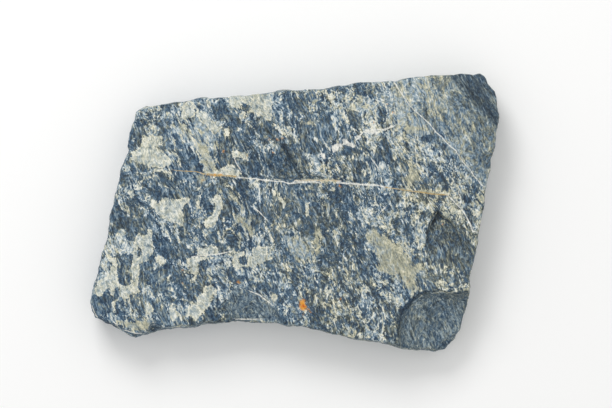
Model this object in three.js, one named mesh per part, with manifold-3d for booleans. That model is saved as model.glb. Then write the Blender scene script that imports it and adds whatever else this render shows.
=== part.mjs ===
// A rough slab of blue-grey marble, split from the bed along its layers and broken to shape on four sides.
// It lies on its flat underside with its best face up. It is one piece of stone.
// Millimetres, +Z up. The origin is at the middle of the underside, +X runs to the right along
// the slab's length, and +Y runs to the far edge.
import * as THREE from 'three';
import { ImprovedNoise } from 'three/addons/math/ImprovedNoise.js';
import { mergeVertices } from 'three/addons/utils/BufferGeometryUtils.js';
import Module from 'manifold-3d';

const wasm = await Module();
wasm.setup();
const perlin = new ImprovedNoise();
const { lerp } = THREE.MathUtils;

// Driving dimensions
const FACE_HEIGHT = 27; // the split face above the underside
const FACE_SWELL = 1.3; // how far the face rises and falls from end to end
const FACE_GRAIN = 0.65; // height of the low ribs that run with the grain
const HOLLOW_DEPTH = 1.5; // the underside touches the ground between hollows this deep
const REST_RADIUS = 26; // the middle of the underside is flat this far out
const BED_TOPS = [4.5, 8.5, 14.5, 18, 24]; // the beds that show as ledges round the sides
const BED_LEDGE = 1.8; // how far one bed stands out past the next
const BED_RISER = 0.6; // height of the slope from one bed to the next
const BED_WAVE = 1.2; // how far a ledge rises and falls on its way round
const SIDE_SLANT = 5; // stretches of the sides lean in this far from top to bottom
const UNDERCUT = 3.2; // the sides draw in this much at the bottom
const UNDERCUT_HEIGHT = 10;
const SIDE_STEP = 4.4; // spacing of the points round the sides
const FACE_STEP = 5.6; // spacing of the points on the face
const UNDERSIDE_STEP = 10;
const EDGE_JAG = 0.55; // small bites out of the four edges
const RIM_STEP = 3.4; // spacing of the points round a chip
const RIM_JAG = 0.7; // how far a chip's rim wanders
const CRACK_WIDTH = 1.3;
const CRACK_DEPTH = 1.8;
const PLAIN_ARRIS = 0.7; // how far the worn edge lies inside the outline, where no number is given
const FINEST_DETAIL = 0.05; // slivers thinner than this are taken out of the finished solid
const CUTTER_TOP = 8; // the cutters for chips and cracks reach this far above the face
const BLOCK = { length: 300, width: 225, height: 100 }; // the blocks that shape the face and the underside
const BLOCK_BORDER = 3; // points this close to a block's rim stay in line
const POINT_SCATTER = 0.48; // other points of a block are moved by this share of their spacing
const STONE_COLOUR = 0x7e888c;
const STONE_ROUGHNESS = 0.75;

// The grain runs steeply from the far left to the near right.
const GRAIN_WAY = new THREE.Vector2(-0.34, 0.94);

// The outline seen from above: [x, y] or [x, y, how far the worn edge lies inside].
const LEFT_EDGE = [
  [-123, -54.5, 1.5], [-120, -43], [-117, -29], [-112, -11], [-108.5, 7], [-104.5, 25],
  [-100, 36], [-100.5, 40], [-98, 50.5],
];
const FAR_EDGE = [
  [-95, 60.5], [-89, 63.5], [-71, 66.5], [-54, 68.5], [-32.5, 70], [-13, 72], [-10.5, 73],
  [3.5, 73.5], [21.5, 75], [38.5, 77.5], [58, 79], [60, 78.5], [62, 79.5], [73, 81.5], [91, 82.5],
];
const RIGHT_EDGE = [
  [111.5, 84], [115, 82], [117, 77.5], [121, 72.5], [122.5, 66], [122.5, 55], [120.5, 38.5],
  [116.5, 19], [113.5, 0], [109, -20.5], [105.5, -41], [105.5, -45.5], [102, -62.5],
];
const NEAR_EDGE = [
  [100, -71], [96, -76.5], [92.5, -79.5], [90, -82.5, 1.5], [84, -84, 1.5], [78, -83], [72.5, -84, 1.5],
  [63.5, -82, 1.2], [51.5, -79], [35, -77], [18.5, -72.5], [2.5, -69.5], [-13, -68, 1.2], [-29.5, -66, 1.2],
  [-43, -66.5, 1.4], [-54, -67.5, 1.4], [-60, -69.5, 1.6], [-74.5, -70.5, 1.4], [-80.5, -71, 1],
  [-89.5, -74.5, 2.8], [-95, -76, 3.4], [-103, -72, 2], [-108.5, -68.5, 1.6], [-114, -67, 4],
  [-119.5, -63.5, 4.5], [-121.5, -59.5, 2.5],
];
const OUTLINE = [...LEFT_EDGE, ...FAR_EDGE, ...RIGHT_EDGE, ...NEAR_EDGE];

// The crack that crosses the face from left to right. In its middle it is the near wall of two chips.
const CRACK_ENDS = [
  [[-59, 25], [-43, 23], [-36, 21.6], [-31, 21]],
  [[55, 15.2], [63.5, 13.5], [78.5, 12], [95, 10.5]],
];

// Pieces that have broken out of the face. Each floor is flat and dips from one point to another,
// both given as [x, y, depth below the face]. The rim is where the floor's wall meets the face.
const CHIPS = {
  nearRightSpall: {
    rim: [
      [60, -95], [61.5, -80], [62, -71], [63.5, -62.5], [66, -56.5], [69.5, -52], [74, -49], [79.5, -47.5],
      [87.5, -47.5], [97, -48.5], [111.5, -47], [130, -47], [130, -95],
    ],
    from: [70, -58, 4.6], to: [98, -78, 8], lean: 0.5, foot: 2.2,
  },
  nearRightStep: {
    rim: [[68, -104], [77, -88], [86, -77], [94, -72], [103, -68], [130, -62], [130, -104]],
    from: [86, -76, 7.4], to: [98, -84, 12], lean: 0.3, foot: 1,
  },
  hollowAboveCrack: {
    rim: [
      [-30, 21.5], [-35, 29], [-30.5, 39.5], [-23, 49], [-18, 51.5], [-13, 47], [-6.5, 39], [-0.5, 31],
      [3.5, 24], [6, 18.4], [-2.5, 17], [-14.5, 18.6], [-27, 20],
    ],
    from: [-33, 39, -0.4], to: [2, 20, 3.8], lean: 0.9, foot: 0.6,
  },
  slopeAboveCrack: {
    rim: [
      [-1, 27], [21.5, 26], [42.5, 21], [60, 17], [61, 13], [51.5, 15], [30.5, 17], [21.5, 18.4], [2, 18.9],
    ],
    from: [10, 24, -0.4], to: [9, 17, 2.7], lean: 0.2, foot: 0.2,
  },
  rightNotch: {
    rim: [
      [86, 0.5], [88, -2], [92, -4], [96.5, -10], [101, -17], [104, -24], [99.5, -31], [90.5, -33.5],
      [81.5, -31], [77.5, -24], [78, -17], [80.5, -9], [83.5, -3],
    ],
    from: [87, -33, -0.3], to: [90, -4, 3.8], lean: 0.5, foot: 0.5,
  },
  farRightSlope: {
    rim: [
      [92, 95], [94, 81.5], [99.5, 74.5], [105.5, 66], [113, 57.5], [119, 52], [130, 46], [135, 95],
    ],
    from: [103, 65, 0.4], to: [121, 80, 6], lean: 0.6, foot: 0.6,
  },
  farRightCorner: {
    rim: [[103, 95], [104.5, 84], [108, 75.5], [113.5, 67], [119.5, 60], [124, 55], [135, 50], [135, 95]],
    from: [110, 71, 2.6], to: [122, 82, 12], lean: 0.4, foot: 0.4,
  },
  farRightSkin: {
    rim: [[80, 95], [84, 80], [90, 72], [97, 62], [103, 56], [109, 50], [118, 44], [135, 40], [135, 95]],
    from: [92, 66, 0.5], to: [118, 62, 1.1], lean: 0.8, foot: 0.3,
  },
  rightEdgeChip: {
    rim: [[111.5, 33], [115, 35], [130, 36], [130, 12], [117, 16.5], [113.5, 24]],
    from: [112, 27, 1], to: [120, 24, 4], lean: 0.6, foot: 0.5,
  },
  nearSlope: {
    rim: [
      [-39.5, -47.5], [-29.5, -45.5], [-20.5, -47], [-11.5, -54.5], [-7, -63.5], [-6, -76], [-49, -76],
      [-47, -60],
    ],
    from: [-28, -46, 0], to: [-28, -67, 2.4], lean: 0.8, foot: 0.5,
  },
  nearLeftBite: {
    rim: [[-87, -67], [-84.5, -66], [-81.5, -67], [-78, -69], [-74, -78], [-90, -80], [-88, -71]],
    from: [-83, -67, 6], to: [-83, -75, 9], lean: 0.3, foot: 0.8,
  },
  darkFlake: {
    rim: [[13.5, -9.5], [32.5, -11], [36, -21], [46, -31], [33, -34], [27, -31], [15.5, -30], [14.5, -20]],
    from: [15, -20, 0.7], to: [44, -24, 0.3], lean: 0.5, foot: 0.3,
  },
  leftFlake: {
    rim: [[-106, -23], [-99, -20], [-97, -31], [-98, -42], [-102.5, -45.5], [-106, -38]],
    from: [-106, -30, 0.9], to: [-97, -32, 0.5], lean: 0.4, foot: 0.3,
  },
  upperLeftFlake: {
    rim: [[-96, 55], [-82, 56], [-80, 47], [-85, 39], [-92, 33], [-112, 36], [-112, 52]],
    from: [-84, 46, 0.5], to: [-99, 45, 1.8], lean: 0.5, foot: 0.4,
  },
};

// Smooth noise from about -1 to 1 whose lumps are size wide. Each layer is another pattern.
function lumps(x, y, size, layer) {
  return perlin.noise(x / size, y / size, layer);
}

// Plan geometry

// Points along a closed outline, a step apart, that keep its corners. Each is [x, y, arris].
function walkOutline(outline, step) {
  const points = [];
  outline.forEach(([x, y, arris = PLAIN_ARRIS], i) => {
    const [nextX, nextY, nextArris = PLAIN_ARRIS] = outline[(i + 1) % outline.length];
    const count = Math.max(1, Math.round(Math.hypot(nextX - x, nextY - y) / step));
    for (let k = 0; k < count; k++) {
      const t = k / count;
      points.push([lerp(x, nextX, t), lerp(y, nextY, t), lerp(arris, nextArris, t)]);
    }
  });
  return points;
}

// The direction out of a clockwise outline at each of its points, evened out over its neighbours.
function outwardAt(points, i, reach) {
  const at = (k) => points[(k + points.length) % points.length];
  const [x0, y0] = at(i - reach);
  const [x1, y1] = at(i + reach);
  return new THREE.Vector2(y0 - y1, x1 - x0).normalize();
}

function isClockwise(points) {
  return THREE.ShapeUtils.area(points.map(([x, y]) => new THREE.Vector2(x, y))) < 0;
}

// Solids

function indexedGeometry(positions, indices) {
  const geometry = new THREE.BufferGeometry();
  geometry.setAttribute('position', new THREE.Float32BufferAttribute(positions, 3));
  geometry.setIndex(Array.from(indices));
  return geometry;
}

function toSolid(geometry) {
  geometry.deleteAttribute('normal');
  geometry.deleteAttribute('uv');
  const merged = mergeVertices(geometry, 1e-4);
  return new wasm.Manifold(new wasm.Mesh({
    numProp: 3,
    vertProperties: new Float32Array(merged.attributes.position.array),
    triVerts: new Uint32Array(merged.index.array),
  }));
}

// A closed solid through rings of [x, y, z] that run clockwise seen from above, listed from the bottom up.
// Each end is closed by a fan about the middle of its ring.
function loft(rings) {
  const count = rings[0].length;
  const average = (ring, axis) => ring.reduce((sum, point) => sum + point[axis], 0) / count;
  const middle = (ring) => [average(ring, 0), average(ring, 1), average(ring, 2)];
  const vertices = [...rings.flat(), middle(rings[0]), middle(rings[rings.length - 1])];
  const bottomMiddle = vertices.length - 2;
  const topMiddle = vertices.length - 1;
  const topRing = (rings.length - 1) * count;
  const indices = [];
  for (let i = 0; i < count; i++) {
    const next = (i + 1) % count;
    indices.push(bottomMiddle, i, next);
    indices.push(topMiddle, topRing + next, topRing + i);
    for (let below = 0; below < topRing; below += count) {
      const above = below + count;
      indices.push(below + i, above + i, below + next, below + next, above + i, above + next);
    }
  }
  return toSolid(indexedGeometry(vertices.flat(), indices));
}

// A block wider than the slab, whose upper or lower side follows a height function.
function terrain(heightAt, step, faceUp) {
  const columns = Math.round(BLOCK.length / step);
  const rows = Math.round((columns * BLOCK.width) / BLOCK.length);
  const geometry = new THREE.BoxGeometry(BLOCK.length, BLOCK.width, BLOCK.height, columns, rows, 1);
  const position = geometry.attributes.position;
  for (let i = 0; i < position.count; i++) {
    const x = position.getX(i);
    const y = position.getY(i);
    if ((position.getZ(i) > 0) === faceUp) {
      const toRim = Math.min(BLOCK.length / 2 - Math.abs(x), BLOCK.width / 2 - Math.abs(y));
      const shift = toRim > BLOCK_BORDER ? step * POINT_SCATTER : 0;
      const movedX = x + shift * perlin.noise(x * 0.71, y * 0.53, 3.3);
      const movedY = y + shift * perlin.noise(x * 0.61, y * 0.77, 8.8);
      position.setXYZ(i, movedX, movedY, heightAt(movedX, movedY));
    }
  }
  return toSolid(geometry);
}

// The height of the split face: a slow swell, and ribs that follow the grain.
function faceHeight(x, y) {
  const across = x * GRAIN_WAY.y - y * GRAIN_WAY.x;
  const along = x * GRAIN_WAY.x + y * GRAIN_WAY.y;
  return FACE_HEIGHT
    + FACE_SWELL * lumps(x, y, 62, 1.7)
    + FACE_GRAIN * perlin.noise(across / 9, along / 30, 5.1)
    + FACE_GRAIN * 0.6 * perlin.noise(across / 5.5, along / 13, 9.4);
}

// The underside: flat where it touches the ground, hollow between, and always flat in the middle.
function undersideHeight(x, y) {
  const wide = 1.4 * perlin.noise(x / 38, y / 30, 12.5);
  const hollow = HOLLOW_DEPTH * (wide + 0.5 * lumps(x, y, 14, 2.2) - 0.1);
  const middle = Math.exp(-(x * x + y * y) / REST_RADIUS ** 2);
  const rest = 3 * HOLLOW_DEPTH * Math.max(0, middle - Math.exp(-1));
  return Math.max(0, hollow - rest);
}

// The broken sides: beds of stone one above the other, drawn in at the foot, with a worn edge at the top.
function sides() {
  const points = walkOutline(OUTLINE, SIDE_STEP);
  const topBed = BED_TOPS.length - 1;
  const levels = [{ z: -2, bed: 0 }];
  BED_TOPS.slice(0, topBed).forEach((top, bed) => {
    levels.push({ z: top - BED_RISER / 2, bed }, { z: top + BED_RISER / 2, bed: bed + 1 });
  });
  levels.push({ z: BED_TOPS[topBed], bed: topBed });
  levels.push({ z: FACE_HEIGHT - 0.4, arris: 1 }, { z: FACE_HEIGHT + 5, arris: 1.5 });
  const outward = points.map((point, i) => outwardAt(points, i, 2));
  return loft(levels.map((level) => points.map((point, i) => sidePoint(point, outward[i], level))));
}

// Where a level of the sides passes a point of the outline. Worn-edge levels state arris and no bed.
function sidePoint([x, y, arrisInset], outward, { z, bed, arris = 0 }) {
  const jag = EDGE_JAG * (lumps(x, y, 7, 3.9) + lumps(x, y, 3, 7.7) - 0.4);
  let inset = arris * arrisInset - jag;
  let lift = 0;
  if (!arris) {
    const height = Math.max(0, z);
    const foot = 1 - Math.min(1, height / UNDERCUT_HEIGHT);
    inset += BED_LEDGE * Math.max(0, 0.3 + 1.2 * lumps(x, y, 12, bed * 4.7));
    inset += UNDERCUT * foot ** 1.5 * (0.8 + 0.7 * lumps(x, y, 25, 6.1));
    inset += SIDE_SLANT * Math.max(0, lumps(x, y, 47, 4.4)) * (1 - height / FACE_HEIGHT);
    lift = z > 0 ? BED_WAVE * lumps(x, y, 33, bed * 2.3) : 0;
  }
  return [x - outward.x * inset, y - outward.y * inset, z + lift];
}

// A chip's cutter: its flat floor, a rounded foot where it is deep, and a wall that leans out past the rim.
function chipCutter({ rim, from, to, lean, foot }) {
  const points = walkOutline(isClockwise(rim) ? rim : [...rim].reverse(), RIM_STEP).map(([x, y]) => [
    x + RIM_JAG * lumps(x, y, 4, 1.1),
    y + RIM_JAG * lumps(x, y, 4, 6.6),
  ]);
  const outward = points.map((point, i) => outwardAt(points, i, 2));
  const [fromX, fromY, fromDepth] = from;
  const [toX, toY, toDepth] = to;
  const run = new THREE.Vector2(toX - fromX, toY - fromY);
  const depthAt = (x, y) => {
    const t = ((x - fromX) * run.x + (y - fromY) * run.y) / run.lengthSq();
    return lerp(fromDepth, toDepth, t);
  };
  const offset = ([x, y], i, distance) => [x + outward[i].x * distance, y + outward[i].y * distance];
  const floorRing = (inward, lift) => points.map((point, i) => {
    const [x, y] = offset(point, i, -inward - lean * Math.max(0, depthAt(...point)));
    return [x, y, FACE_HEIGHT - depthAt(x, y) + lift];
  });
  const deepAllRound = points.every((point) => depthAt(...point) > foot);
  const rings = deepAllRound
    ? [floorRing(foot, 0), floorRing(0, foot * 0.45), points.map(([x, y]) => [x, y, FACE_HEIGHT + 0.3])]
    : [floorRing(0, 0)];
  const topRing = points.map((point, i) => [...offset(point, i, lean * 4), FACE_HEIGHT + CUTTER_TOP]);
  return loft([...rings, topRing]);
}

// A V-shaped groove that follows a line of points and runs out at both ends.
function grooveCutter(line, width, depth) {
  const above = CUTTER_TOP / 2;
  const rings = line.map(([x, y], i) => {
    const [x0, y0] = line[Math.max(0, i - 1)];
    const [x1, y1] = line[Math.min(line.length - 1, i + 1)];
    const way = new THREE.Vector2(y1 - y0, x0 - x1).normalize();
    const share = i === 0 || i === line.length - 1 ? 0.15 : 1;
    const half = (width / 2) * (1 + above / depth) * share;
    return [
      [x + way.x * half, y + way.y * half, FACE_HEIGHT + above],
      [x - way.x * half, y - way.y * half, FACE_HEIGHT + above],
      [x, y, FACE_HEIGHT - depth * share],
    ];
  });
  const indices = [0, 2, 1];
  const last = (rings.length - 1) * 3;
  indices.push(last, last + 1, last + 2);
  for (let ring = 0; ring < rings.length - 1; ring++) {
    for (let i = 0; i < 3; i++) {
      const a = ring * 3 + i;
      const b = ring * 3 + (i + 1) % 3;
      indices.push(a, b, a + 3, b, b + 3, a + 3);
    }
  }
  return toSolid(indexedGeometry(rings.flat(2), indices));
}

// The slab: the broken sides, cut to the split face and to the underside, less the chips and the crack.
function slabSolid() {
  let slab = sides()
    .intersect(terrain(faceHeight, FACE_STEP, true))
    .intersect(terrain(undersideHeight, UNDERSIDE_STEP, false));
  for (const chip of Object.values(CHIPS)) slab = slab.subtract(chipCutter(chip));
  for (const line of CRACK_ENDS) slab = slab.subtract(grooveCutter(line, CRACK_WIDTH, CRACK_DEPTH));
  return slab.simplify(FINEST_DETAIL);
}

// The mesh, moved so that the origin is at the middle of the underside.
function slabMesh() {
  const { vertProperties, triVerts } = slabSolid().getMesh();
  const geometry = indexedGeometry(vertProperties, triVerts);
  geometry.computeBoundingBox();
  const { min, max } = geometry.boundingBox;
  geometry.translate(-(min.x + max.x) / 2, -(min.y + max.y) / 2, -min.z);
  geometry.computeVertexNormals();
  const material = new THREE.MeshStandardMaterial({
    color: STONE_COLOUR, roughness: STONE_ROUGHNESS, metalness: 0, flatShading: true,
  });
  const mesh = new THREE.Mesh(geometry, material);
  mesh.name = 'marble_slab';
  return mesh;
}

const slab = new THREE.Group();
slab.add(slabMesh());

export default slab;
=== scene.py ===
"""Marble slab: the fine surface and the finish of a rough slab of streaked blue-grey marble."""

import math

import bmesh
import bpy
import numpy as np
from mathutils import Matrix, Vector


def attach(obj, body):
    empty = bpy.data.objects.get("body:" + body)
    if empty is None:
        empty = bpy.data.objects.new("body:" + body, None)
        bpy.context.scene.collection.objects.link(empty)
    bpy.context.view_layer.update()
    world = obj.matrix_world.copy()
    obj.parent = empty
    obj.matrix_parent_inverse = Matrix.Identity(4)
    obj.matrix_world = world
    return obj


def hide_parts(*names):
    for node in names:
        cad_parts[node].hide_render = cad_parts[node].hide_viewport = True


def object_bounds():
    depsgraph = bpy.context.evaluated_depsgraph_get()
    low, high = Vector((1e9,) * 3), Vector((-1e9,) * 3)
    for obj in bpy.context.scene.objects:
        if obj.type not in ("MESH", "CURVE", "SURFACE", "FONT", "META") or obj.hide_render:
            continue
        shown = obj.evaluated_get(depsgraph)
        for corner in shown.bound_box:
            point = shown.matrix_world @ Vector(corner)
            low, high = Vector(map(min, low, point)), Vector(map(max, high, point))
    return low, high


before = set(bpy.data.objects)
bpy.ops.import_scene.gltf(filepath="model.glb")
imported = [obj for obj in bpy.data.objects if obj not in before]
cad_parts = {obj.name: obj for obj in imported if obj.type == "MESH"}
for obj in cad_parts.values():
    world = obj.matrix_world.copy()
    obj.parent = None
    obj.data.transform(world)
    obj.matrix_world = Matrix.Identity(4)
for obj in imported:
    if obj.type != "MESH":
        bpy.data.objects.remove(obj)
cad_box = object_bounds()

bl_info = {
    "name": "Marble Slab",
    "version": (1, 0, 0),
    "blender": (4, 5, 0),
    "location": "View3D > Sidebar > Marble Slab",
    "description": "Builds a rough slab of streaked marble and a plain studio stage for it",
    "category": "Object",
}

NODE = "marble_slab"
MM = 0.001
# Noise mostly stays within this of its middle, which is a half.
NOISE_SPREAD = 0.25

# All places and sizes from here to the end of the marks are in millimetres.
# The camera looks at the face here, measured from the middle of the slab.
VIEW_MIDDLE = (6.8, 4.5)
FLOOR_HALF_WIDTH = 3000
FLOOR_ROUGHNESS = 0.9
# The marks are drawn on the split face, from this point of the slab's own frame.
MARKS_MIDDLE = (0.05, -0.22)
# The grain's direction in the plane of the face, steep and leaning to the left.
GRAIN_WAY = (-0.34, 0.94)
# A mark's depth is the distance in from its edge. Past this far outside every mark, it stays the same.
MARK_REACH = 6.0
VEIN_REACH = 2.5
# The marks fade in as the stone's normal turns up: from this share of upright, over this much more.
FACE_START = 0.2
FACE_FADE = 0.35

# The sharp tip of the notch at the right side, how high its floor lies and how wide its wall is.
NOTCH_TIP = (
    (85.3, 1.4), (83.2, -2.4), (81.2, -6), (79.6, -11), (84, -12), (89, -10), (92.4, -7.6), (89.4, -3.4),
    (87.2, -1),
)
NOTCH_FLOOR = 23.9
NOTCH_WALL = 1.1
# The far side is straighter than the others, with this share of their ledges and breaks.
FAR_SIDE_SHARE = 0.35
RELIEF_SEED = 3.0
# The relief's inputs, which the stone's settings hold under the same names.
RELIEF_SIZES = (
    "Rib Height", "Rib Spacing", "Grit Height", "Grit Size", "Bed Height", "Bed Spacing", "Break Height",
    "Break Spacing", "Crust Height",
)

# Crisp cream crusts: closed outlines, gaps in them, lines with their width, and spots with their radius.
CREAM_PATCHES = (
    ((-90, 45.5), (-86, 45.5), (-79.5, 45), (-79, 41.5), (-82, 38), (-78, 35.5), (-75.5, 33), (-73, 30),
     (-73.5, 27.5), (-77.5, 26.5), (-79, 25), (-81, 26), (-84, 26), (-87.5, 25.5), (-88.5, 28), (-91, 27.5),
     (-95, 29), (-98.5, 31), (-96.5, 33.5), (-98, 35), (-94, 37.5), (-92, 40)),
    ((-68, 62), (-65, 65), (-62, 66.5), (-59.5, 63), (-60, 58), (-61, 55.5), (-66, 54.5), (-68, 56)),
    ((-40, 69.5), (-33, 70), (-27, 70.5), (-23, 71), (-20, 70), (-14.5, 70.5), (-13.5, 66), (-13.5, 58),
     (-14.5, 54), (-18, 55), (-20, 57.5), (-25, 59), (-27, 60), (-27, 63), (-29.5, 64.5), (-32, 62.5),
     (-32, 61), (-34.5, 61.5), (-37, 62), (-39, 65)),
    ((-33, 59), (-29, 59.5), (-30, 55.5), (-33, 55)),
    ((-42, 50), (-39, 49.5), (-38.5, 45), (-37.5, 44), (-41, 45.5)),
    ((-37, 36), (-31, 36), (-28, 34.5), (-27.5, 30), (-30, 30.5), (-33, 32), (-37, 32.5)),
    ((-54, 24), (-46, 24.5), (-43, 26), (-40, 27.5), (-38, 28.5), (-35, 25.5), (-31, 22.5), (-33, 21),
     (-38, 21), (-47, 21.5), (-54, 22)),
    ((-87, 7), (-83.5, 7), (-82, 4.5), (-80.5, 4), (-80, 7), (-76, 8.5), (-74, 7), (-69, 7), (-65.5, 8),
     (-63, 8.5), (-63, 5.5), (-66, 4), (-67.5, 1), (-66.5, -2), (-65.5, -5), (-66, -8), (-68.5, -8.5),
     (-70.5, -7), (-74, -7), (-76, -5), (-80, -3.5), (-82.5, -1.5), (-84.5, 2)),
    ((-95, 15.5), (-92.5, 16.5), (-91, 13), (-93, 12), (-95, 13)),
    ((-99.5, 12.5), (-96, 12.5), (-95.5, 9), (-97, 7), (-99, 8.5)),
    ((-48, 10), (-45, 9.5), (-43.5, 8), (-43.5, 4.5), (-42.5, 3), (-44, -0.5), (-46, -3.5), (-47, -7),
     (-48.5, -9.5), (-53, -9.5), (-54, -7.5), (-52.5, -5), (-50, -2.5), (-48, 1), (-48, 5)),
    ((-96, -16.5), (-93, -14), (-90, -14.5), (-88.5, -14), (-87.5, -10), (-85, -11), (-85.5, -15), (-85, -20),
     (-84.5, -25), (-88, -30), (-92, -31), (-93, -36), (-93.5, -45), (-92, -47.5), (-93.5, -50),
     (-95.5, -49.5), (-96, -45), (-96.5, -40), (-97.5, -38), (-100, -36), (-97.5, -34), (-97, -31),
     (-96.5, -26), (-96, -20)),
    ((-84, -27), (-81, -26.5), (-78, -28), (-77, -31.5), (-79, -32), (-82, -30.5), (-84, -28.5)),
    ((-109, -27), (-106.5, -28), (-106, -33), (-105.5, -41), (-104, -43.5), (-101, -45), (-98.5, -44),
     (-97.5, -41), (-96, -43), (-95.5, -48), (-96.5, -50), (-98, -50.5), (-98, -53), (-98.5, -55.5),
     (-99.5, -52), (-100.5, -52.5), (-101, -56), (-102.5, -52), (-105, -50), (-105, -46), (-107.5, -46),
     (-107.5, -51.5), (-109.5, -50), (-110.5, -46.5), (-112.5, -46), (-114, -48.5), (-116, -51),
     (-119, -49.5), (-119.5, -46), (-117.5, -42), (-114, -40), (-111.5, -38.5), (-109.5, -34), (-109.5, -30)),
    ((-89.5, -57), (-87.5, -55), (-85, -56), (-84, -59), (-84.5, -60.5), (-86.5, -61), (-87.5, -63),
     (-88, -66), (-89.5, -60)),
    ((-74.5, -58), (-71.5, -58), (-70, -60), (-68, -61), (-68.5, -63), (-70.5, -63.5), (-71, -66),
     (-73.5, -65), (-75, -62), (-76, -60.5)),
    ((-55, -45.5), (-51, -44.5), (-48.5, -44.5), (-46.5, -47), (-46.5, -49.5), (-48.5, -50.5), (-49.5, -53),
     (-51, -56.5), (-54, -60), (-57, -62.5), (-58, -65), (-60.5, -66), (-61, -63.5), (-65, -62), (-66, -58.5),
     (-62, -57.5), (-61.5, -55.5), (-65, -53.5), (-71, -51.5), (-66, -52), (-61.5, -54), (-58.5, -55.5),
     (-58.5, -51), (-55, -49.5), (-54.5, -47)),
    ((-58, -21.5), (-53, -22), (-50, -19.5), (-48, -21), (-46, -21.5), (-45.5, -24), (-46, -25.5),
     (-52, -26.3), (-58, -26.5)),
    ((-65, -28.5), (-60, -27.5), (-50, -26.5), (-48, -28), (-56.5, -29.5), (-57, -31), (-57.5, -35),
     (-58.5, -39), (-58.5, -42), (-60.5, -41), (-60.5, -38), (-62.5, -37.5), (-62.5, -34), (-63, -31.5),
     (-64.5, -30)),
    ((-40, -23.5), (-36.5, -22), (-35, -24), (-31, -23.5), (-29, -25.5), (-27, -27), (-25.5, -27),
     (-25.5, -22), (-21, -21), (-16.5, -21), (-16, -25), (-17, -29), (-18, -31), (-22, -32), (-24, -34),
     (-31, -33.5), (-34, -34.5), (-36.5, -33), (-37, -30), (-36, -26), (-38, -25)),
    ((17, 72.5), (19.5, 73), (20, 70.5), (24, 69), (25, 67), (22, 65.5), (20, 67), (19, 70), (17, 71)),
    ((32, 62), (34, 63), (36.5, 62), (35.5, 60.5), (33, 60.5)),
    ((-59, 60), (-54.6, 60), (-49, 54), (-44.4, 49.2), (-46.8, 45.6), (-52.8, 50.4), (-57.6, 55.2)),
    ((21, 14.5), (25.5, 14.5), (24, 12), (21.5, 11.5)),
    ((8.5, 6), (7, 4), (6.5, 0), (7, -3), (8.5, -3), (8.5, 1)),
    ((-10, 7.5), (-8, 8.5), (-6, 6), (-5, 3), (-6.5, 1.5), (-8, 5)),
    ((17.5, -47), (19.5, -46), (21.5, -46), (21.5, -49), (19, -49)),
    ((-13.5, -50), (-12, -48.5), (-10, -50), (-10.5, -53), (-12, -54.5), (-13.5, -52)),
    ((106.5, -1), (108.5, 0.5), (111, -0.5), (110, -3), (108, -2.5)),
    ((51, -42), (54, -41), (57, -41), (57, -42.5), (54, -44)),
    ((86, -41), (88.5, -40.5), (89.5, -43), (88.5, -45), (87, -44)),
    ((86.5, 3.5), (88, 2.5), (90.5, 0), (93, -1.5), (92, -3.5), (89, -3), (87.5, -0.5)),
    ((93, 1), (96, 2), (100, 0.5), (99, -1.5), (95, -2), (93.5, -1)),
    ((70, -47), (73.5, -45.5), (74, -47), (71.5, -50), (69, -52)),
)
CREAM_GAPS = (
    ((-94, -21.5), (-91.5, -21.5), (-91.5, -26), (-93.5, -27.5), (-94.5, -25)),
    ((-33, -27), (-30, -26.5), (-28, -28), (-28, -31), (-30, -32.5), (-32.5, -31)),
)
CREAM_LINES = (
    (1.5, ((-84, 25), (-74, 23))),
    (1.6, ((-47.5, 37), (-46.5, 30))),
    (1.3, ((-83, 21), (-88, 20), (-91.5, 18), (-94.5, 14.5))),
    (1.5, ((-58, 14), (-56, 12), (-55.5, 10.5))),
    (1.8, ((-57, 9), (-57.5, 5), (-58.5, 1), (-60, -1))),
    (1.5, ((-108, -59.5), (-108.5, -55), (-105, -52.5))),
    (1.2, ((86, 10.5), (91, 10.5), (93, 9.5))),
    (0.9, ((48.5, 67), (48.8, 62), (48.3, 56))),
    (0.8, ((-72, 44), (-71, 35), (-68, 27))),
    (0.8, ((-64, 52), (-60, 42), (-57.5, 33), (-55.5, 27))),
)
CREAM_SPOTS = (
    (-68, 36.5, 0.77), (-68, 31, 0.77), (-12.5, 51, 0.77), (61, 48.5, 1.02), (24, -64.5, 0.85),
     (43, -46, 0.85),
    (36.5, -43, 1.27), (93.5, -44, 1.02),
)

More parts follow.
